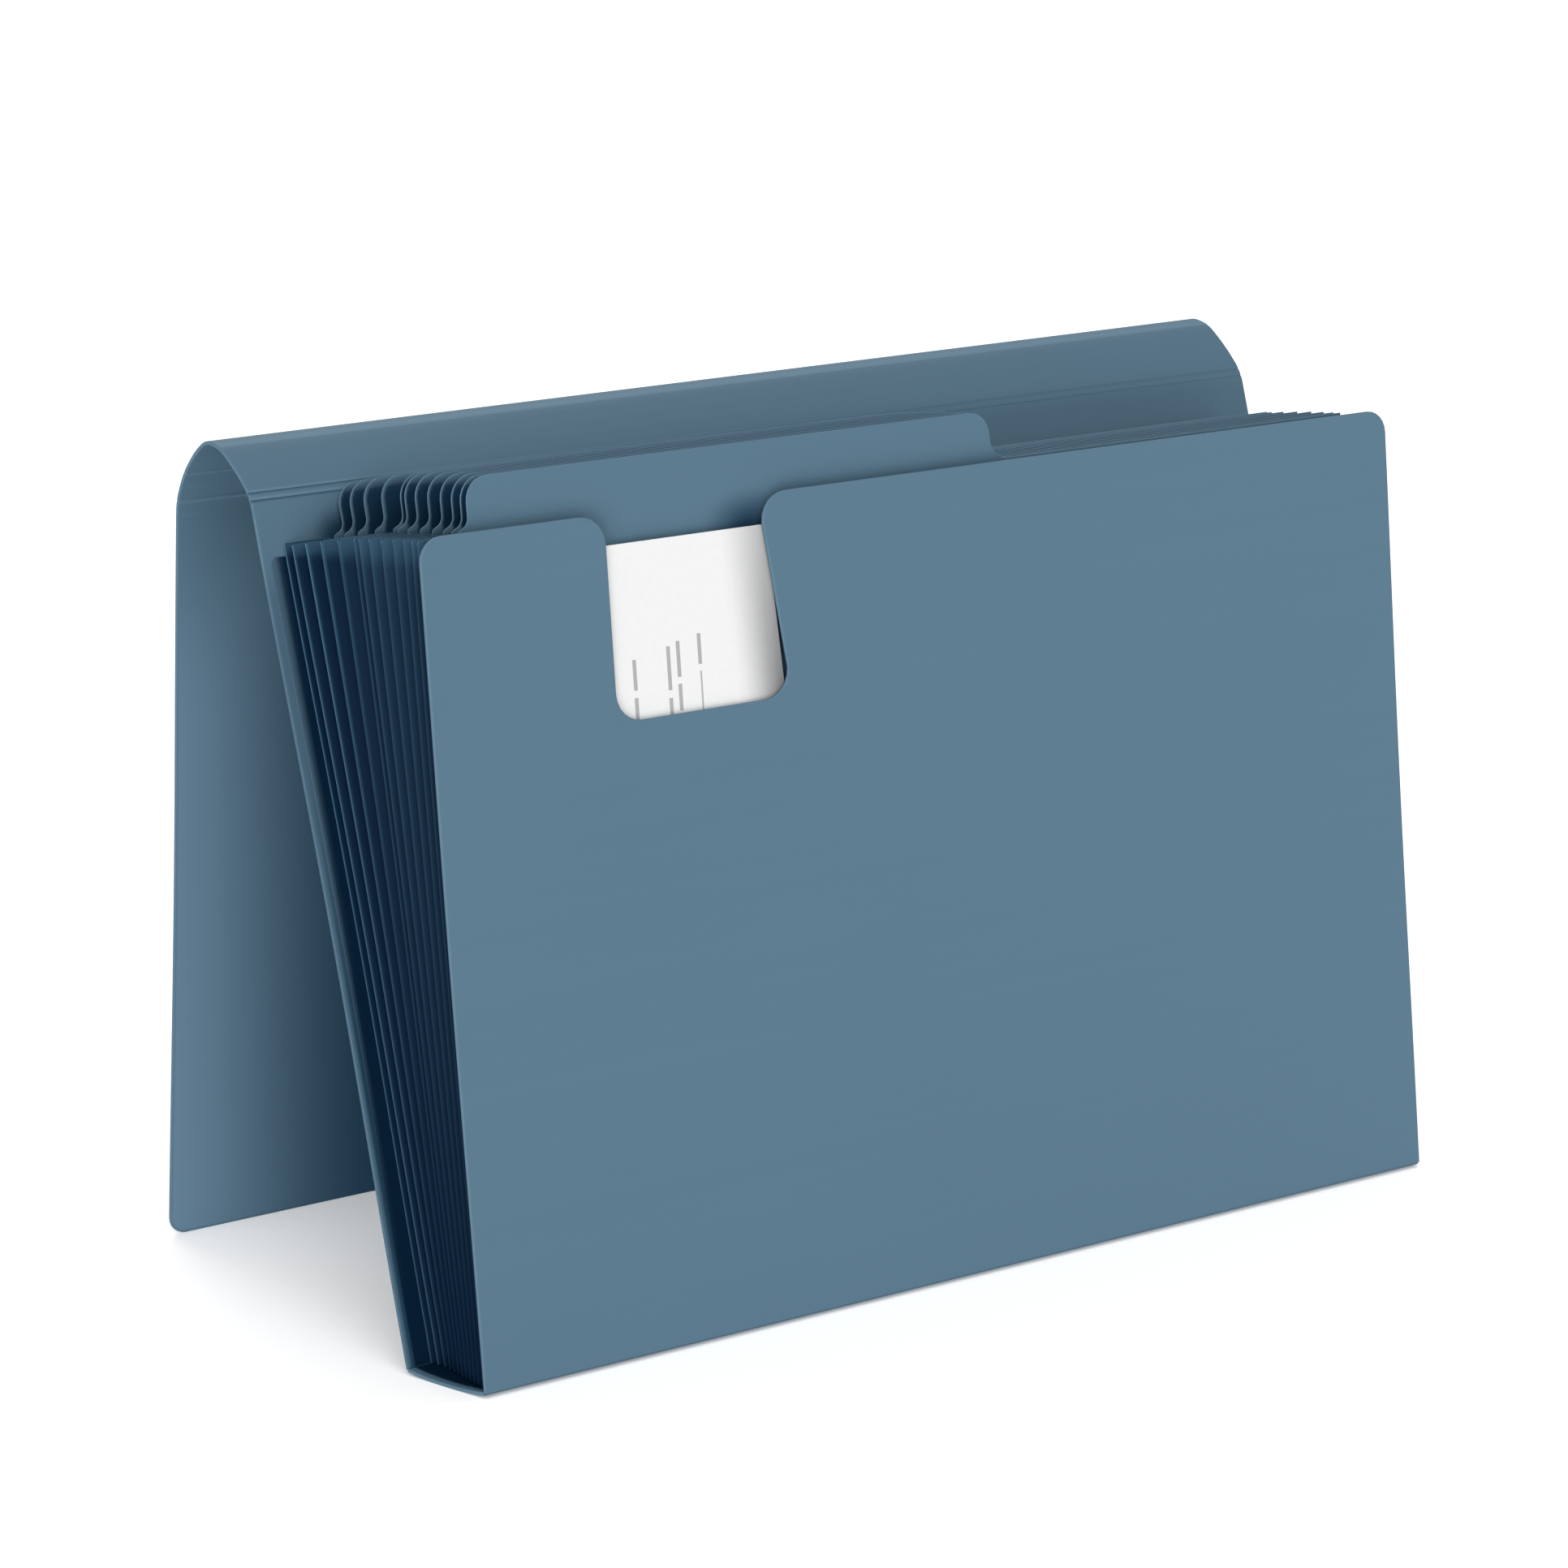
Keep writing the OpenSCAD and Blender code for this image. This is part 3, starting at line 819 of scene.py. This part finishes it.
def makePleats(side, sideName, node):
    innerX = stackAxes[1]["half"] + pleat["gap"]
    length = pleat["length"][sideName]
    for k in range(1, len(stack)):
        reach = frontAxes["half"] - pleat["setback"] - innerX + pleat["reach"][k - 1]
        first, second = stackAxes[k - 1], stackAxes[k]
        # the first and last folds lie on the faces of the cover, over the strip on the back panel
        back = first["thick"] / 2 + pleat["thick"] * 3 / 2 if k == 1 else 0
        front = second["thick"] / 2 + pleat["thick"] if k == len(stack) - 1 else 0
        lift = stackAxes[1]["foot"].z - first["foot"].z if k == 1 else 0
        liftFront = stackAxes[-2]["foot"].z - second["foot"].z if front else 0

        def at(x, s):
            # x runs over the fold, from 0 at the rear panel over reach at its tip to the next panel
            u = min(max(x / (2 * reach), 0), 1)
            rear = first["foot"] + first["up"] * (s + lift) + first["front"] * (back + panelBow(first, s))
            ahead = second["foot"] + second["up"] * (s + liftFront) + second["front"] * (
                panelBow(second, s) - front)
            # the tip stays close to the rear panel, and the front leg swings over to the next one
            v = ease(u)
            p = rear.lerp(ahead, v * (1 - (1 - v) * (1 - pleat["tipLean"]) * 2))
            if s < pleat["footTrim"]:
                p.z = min(p.z, max(spineHeight(p.y) + pleat["overSpine"], 0))  # down to the bottom spine
            return Vector((side * (innerX + reach * foldReach(u)), p.y, p.z))

        def place(x, s):
            dx, ds = pleat["stepAcross"], pleat["stepAlong"]
            a, b = max(x - dx, 0), min(x + dx, 2 * reach)
            higher = max(s, ds * 2)
            across = at(b, higher) - at(a, higher)
            along = at(x, higher + ds) - at(x, higher - ds)
            return at(x, s), (across.cross(along) * side).normalized()

        def shade(x, s):
            # painted shade: lighter along the fold and at the open top, deep between the legs
            offRidge = ease((abs(x - reach) - pleat["ridge"]) / pleat["fade"])
            deepTop = ease((length - s - pleat["lightTop"]) / pleat["topFade"][k - 1])
            deepTop = pleat["topShade"] + (1 - pleat["topShade"]) * deepTop
            high = s / length
            ridge = pleat["ridgeLight"][k - 1] * high + pleat["ridgeFoot"][k - 1] * (1 - high)
            deepest = 1 - (1 - pleat["deepest"][k - 1]) * high
            return deepTop * deepest * (1 - ridge * (1 - offRidge))

        # painted highlight along the fold's tip
        def paintedLight(x, s):
            return pleat["paintedLight"][k - 1] * (1 - ease(abs(x - reach) / pleat["paintedLightWidth"]))
        quarter = [math.pi / 2 * i / pleat["tipSteps"] for i in range(pleat["tipSteps"] + 1)]
        corner = [(pleat["tipCut"] * (1 - math.cos(a)), pleat["tipDrop"] * (1 - math.sin(a)))
                  for a in quarter]
        outline = (
            [(0, 0), (2 * reach, 0), (2 * reach, length)]
            + [(reach + x, length - down) for x, down in reversed(corner)]
            + [(reach - x, length - down) for x, down in corner[1:]]
            + [(0, length)]
        )
        cuts = (spread(reach, pleat["paintedLightWidth"], 1), [length - down for down in pleat["topCuts"]])
        piece = makeSheet("%sPleat%02d" % (sideName, k), outline, place, pleat["thick"], pleat["cell"],
                          pleat["band"], cuts=cuts, shade=shade, paintedLight=paintedLight)
        piece.data.materials.append(gussetFilm)
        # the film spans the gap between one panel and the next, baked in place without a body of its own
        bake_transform(piece)
        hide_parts(node)
    makeStrip(side, sideName)


def makeStrip(side, sideName):
    outer = backAxes["half"] - strip["edge"]
    inner, low, top, r = outer - strip["width"], strip["foot"], strip["length"], strip["corner"]
    height = backAxes["thick"] / 2 + pleat["thick"] / 2
    outline = [(inner, low), (outer, low)] + cornerArc((outer - r, top - r), r, 0, 90) + [(inner, top)]
    if side < 0:
        outline = [(-x, s) for x, s in reversed(outline)]

    def bend(x, s):
        return height + panelBow(backAxes, s)

    # painted shade over the strip, light only by its outer edge near the top, and never lighter than the
    # margin's painted shade
    def shade(x, s):
        light = strip["lightFoot"] + (strip["lightTop"] - strip["lightFoot"]) * s / top
        return max(ease((outer - abs(x) - light) / strip["fade"]), cover["marginShade"])
    piece = makeSheet(sideName + "Strip", outline, flatPlace(backAxes, bend), pleat["thick"], strip["cell"],
                      pleat["band"], shade=shade)
    dress(piece, gussetStrip, "back_panel", "gusset_film")


makePleats(-1, "left", "gusset_left")
makePleats(1, "right", "gusset_right")
print("pleats made")


# Paper slip in the front pocket

slip = {
    "nearer": 0.13 * mm, "curl": 0.1 * mm, "curlFrom": 0.55, "cell": (2 * mm, 6 * mm), "band": 0.05 * mm,
    "overEdge": 0.8 * mm, "footInset": 0.3 * mm,  # its right edge by the notch's, at the top and lower down
    "paper": (0.63, 0.63, 0.63, 1), "shade": (0.59, 0.59, 0.59, 1), "deep": (0.12, 0.122, 0.125, 1),
    "ink": (0.30, 0.30, 0.31, 1), "roughness": 0.75, "fibreScale": 900.0, "fibreBump": 0.2,
    "fibreDepth": 0.03 * mm, "shadeWidth": 12 * mm, "deepTop": 0.42, "deepFoot": 1.0,
}
printing = {  # generic grey bars, in mm from the slip's lower left corner: left edge, foot, width and length
    "bars": [(4.9, 100, 0.9, 34.5), (4.9, 136, 0.9, 6.3), (13.2, 100, 0.9, 33.4), (13.2, 135, 0.9, 9),
             (15.6, 100, 0.9, 29), (15.6, 130.5, 0.9, 5.5), (15.6, 137.4, 0.9, 7.4), (21.1, 100, 0.4, 38),
             (20.8, 139.4, 0.9, 6.3)],
}


def inBar(tree, parts, left, bar, down):
    # a mask that is 1 inside one bar
    x, foot, wide, high = bar
    spans = [(parts.outputs[0], left + x * mm, wide * mm), (parts.outputs[1], foot * mm, high * mm)]
    sides = []
    for socket, low, size in spans:
        near = addNode(tree, "ShaderNodeMath", (-1000, down), {0: socket, 1: low + size / 2, 2: size / 2},
                       operation="COMPARE")
        sides.append(near.outputs[0])
    both = addNode(tree, "ShaderNodeMath", (-800, down), {0: sides[0], 1: sides[1]}, operation="MULTIPLY")
    return both.outputs[0]


def makePaper(left):
    material = bpy.data.materials.new("slipPaper")
    material.use_nodes = True
    tree = material.node_tree
    shader = tree.nodes["Principled BSDF"]
    shader.inputs["Roughness"].default_value = slip["roughness"]
    flat = addNode(tree, "ShaderNodeUVMap", (-1500, 0), uv_map="flatSheet")
    parts = addNode(tree, "ShaderNodeSeparateXYZ", (-1300, 0), {0: flat.outputs["UV"]})
    fibre = addNode(tree, "ShaderNodeTexNoise", (-1300, -300),
                    {"Vector": flat.outputs["UV"], "Scale": slip["fibreScale"], "Detail": 4.0})
    paper = addNode(tree, "ShaderNodeMix", (-500, 100),
                    {0: fibre.outputs["Fac"], 6: slip["shade"], 7: slip["paper"]}, data_type="RGBA")
    covered = None
    for n, bar in enumerate(printing["bars"]):
        here = inBar(tree, parts, left, bar, -150 * n)
        if covered:
            joined = addNode(tree, "ShaderNodeMath", (-650, -150 * n),
                             {0: covered, 1: here}, operation="MAXIMUM")
            here = joined.outputs[0]
        covered = here
    inked = addNode(tree, "ShaderNodeMix", (-250, 100), {0: covered, 6: paper.outputs[2], 7: slip["ink"]},
                    data_type="RGBA")
    # painted shade from the slip's shade values
    deepen = addNode(tree, "ShaderNodeGroup", (-50, 100), {"Open": inked.outputs[2], "Deep": slip["deep"]},
                     node_tree=pocketShade)
    tree.links.new(deepen.outputs["Color"], shader.inputs["Base Color"])
    bump = addNode(tree, "ShaderNodeBump", (-250, -250), {
        "Height": fibre.outputs["Fac"], "Strength": slip["fibreBump"], "Distance": slip["fibreDepth"]})
    tree.links.new(bump.outputs["Normal"], shader.inputs["Normal"])
    return material


def makeSlip():
    low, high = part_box("paper_slip")
    panel = sheetAxes("front_panel")
    corners = [v.co for v in frame["nodes"]["paper_slip"].data.vertices]
    depths = [(c - panel["foot"]).dot(panel["front"]) for c in corners]
    alongs = [(c - panel["foot"]).dot(panel["up"]) for c in corners]
    depth, thick = sum(depths) / len(depths), max(depths) - min(depths)
    laid = dict(panel, foot=panel["foot"] + panel["front"] * (depth + slip["nearer"]))
    foot, top = min(alongs), max(alongs)

    def bend(x, s):
        # the slip leans off the panel towards its top
        high = ease(((s - foot) / (top - foot) - slip["curlFrom"]) / (1 - slip["curlFrom"]))
        return panelBow(panel, s) - slip["curl"] * high

    def shade(x, s):
        # painted shade: the notch's edge keeps light off the slip, more so lower down
        down = min(max((panel["length"] - s) / notch["depth"], 0), 1)
        deepest = slip["deepTop"] + (slip["deepFoot"] - slip["deepTop"]) * down
        return deepest * ease((x - notchEdge(s)) / slip["shadeWidth"] + 1)
    notchFoot = panel["length"] - notch["depth"]
    outline = [
        (low.x, foot), (high.x, foot), (high.x, notchFoot - 2 * notch["radius"]),
        (notchEdge(notchFoot) - slip["footInset"], notchFoot),
        (notchEdge(top) + slip["overEdge"], top), (low.x, top),
    ]
    piece = makeSheet("paperSlip", outline, flatPlace(laid, bend), thick, slip["cell"], slip["band"],
                      shade=shade, shadeOn=(1, 0))
    dress(piece, makePaper(low.x), "paper_slip", "slip_paper", "paper_slip")


makeSlip()
print("paper slip made")


# Floor, light and camera

studio = {
    "floorSize": 14.0, "floorColor": (0.93, 0.93, 0.93, 1), "floorRoughness": 0.9, "floorShine": 0.1,
    "floorGlow": 0.21, "sky": 0.38,
    "lights": {  # strength, softness in degrees and where it comes from
        "topLight": (1.5, 60, (-0.3, -0.45, 1.0)),
        "windowLight": (0.8, 38, (-0.31, -0.95, 0.36)),
        "bounceLight": (1.85, 40, (-0.72, -0.62, -0.3)),
        "backLight": (1.0, 50, (0.35, 1.0, 1.1)),
        "sideLight": (0.7, 50, (0.95, -0.2, 0.2)),
    },
}
view = {
    "place": (-0.602693, -0.851647, 0.366158), "yaw": 34.874, "pitch": 14.521, "lens": 112.71, "sensor": 36,
}


def makeFloor():
    bm = bmesh.new()
    half = studio["floorSize"] / 2
    corners = [bm.verts.new((x * half, y * half, 0)) for x, y in ((-1, -1), (1, -1), (1, 1), (-1, 1))]
    bm.faces.new(corners)
    mesh = bpy.data.meshes.new("floor")
    bm.to_mesh(mesh)
    bm.free()
    floor = bpy.data.objects.new("floor", mesh)
    bpy.context.scene.collection.objects.link(floor)
    material = bpy.data.materials.new("floorPaper")
    material.use_nodes = True
    tree = material.node_tree
    shader = tree.nodes["Principled BSDF"]
    shader.inputs["Base Color"].default_value = studio["floorColor"]
    shader.inputs["Roughness"].default_value = studio["floorRoughness"]
    shader.inputs["Specular IOR Level"].default_value = studio["floorShine"]
    shader.inputs["Emission Color"].default_value = (1, 1, 1, 1)
    rays = addNode(tree, "ShaderNodeLightPath", (-600, -300))  # the glow whitens the picture, not the wallet
    glow = addNode(tree, "ShaderNodeMath", (-300, -300),
                   {0: rays.outputs["Is Camera Ray"], 1: studio["floorGlow"]}, operation="MULTIPLY")
    tree.links.new(glow.outputs[0], shader.inputs["Emission Strength"])
    floor.data.materials.append(material)
    floor.visible_shadow = False  # so that the bounced light comes up through it


def makeLights():
    for name, (strength, softness, fromPlace) in studio["lights"].items():
        light = bpy.data.lights.new(name, "SUN")
        light.energy, light.angle = strength, math.radians(softness)
        lamp = bpy.data.objects.new(name, light)
        bpy.context.scene.collection.objects.link(lamp)
        lamp.rotation_euler = (-Vector(fromPlace)).to_track_quat("-Z", "Y").to_euler()


def makeStudio():
    makeFloor()
    world = bpy.data.worlds.new("studioWorld")
    world.use_nodes = True
    tree = world.node_tree
    tree.nodes["Background"].inputs["Color"].default_value = (1, 1, 1, 1)
    rays = addNode(tree, "ShaderNodeLightPath", (-600, 0))  # the backdrop is white where it is seen
    strength = addNode(tree, "ShaderNodeMath", (-300, 0), {
        0: rays.outputs["Is Camera Ray"], 1: 1 - studio["sky"], 2: studio["sky"]}, operation="MULTIPLY_ADD")
    tree.links.new(strength.outputs[0], tree.nodes["Background"].inputs["Strength"])
    bpy.context.scene.world = world
    bpy.context.scene.view_settings.view_transform = "Standard"
    makeLights()
    camera = bpy.data.objects.new("camera", bpy.data.cameras.new("camera"))
    bpy.context.scene.collection.objects.link(camera)
    camera.data.lens, camera.data.sensor_width = view["lens"], view["sensor"]
    camera.location = view["place"]
    camera.rotation_euler = (math.radians(90 - view["pitch"]), 0, math.radians(-view["yaw"]))
    bpy.context.scene.camera = camera


makeStudio()
print("studio made")

bpy.context.view_layer.update()
